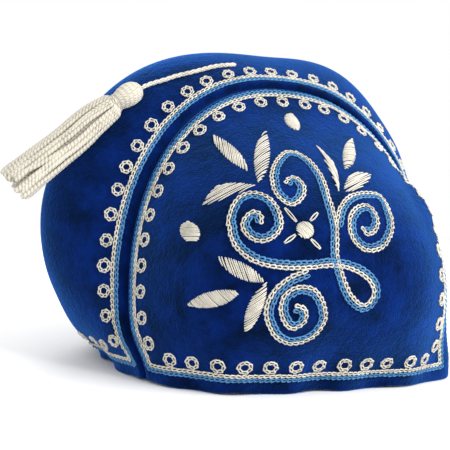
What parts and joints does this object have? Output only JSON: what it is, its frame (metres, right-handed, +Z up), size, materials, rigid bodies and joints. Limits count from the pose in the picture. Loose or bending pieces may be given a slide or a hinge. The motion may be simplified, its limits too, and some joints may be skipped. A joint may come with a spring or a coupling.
{
  "type": "embroidered child's cap",
  "caption": "Rounded cap of blue wool felt, sewn from two side panels and a crown band, with chain-stitch embroidery and a cream tassel.",
  "frame": {"origin": "middle of the felt cap at the height of its rim", "axes": "+Z up from the rim to the crown, +X towards the front of the band, -X towards the back with the tassel, -Y towards the side panel that the picture shows"},
  "size_m": [0.2112, 0.188, 0.1504],
  "materials": {
    "near_side_felt": "royal blue wool felt, napped",
    "far_side_felt": "royal blue wool felt, napped",
    "band_felt": "royal blue wool felt, napped",
    "cream_cord": "twisted cream yarn",
    "cream_tassel_yarn": "glossy cream yarn"
  },
  "bodies": {
    "root": {"side_panel_near": "near_side_felt", "side_panel_far": "far_side_felt", "crown_band": "band_felt", "tassel_cord": "cream_cord", "tassel": "cream_tassel_yarn"}
  },
  "joints": []
}
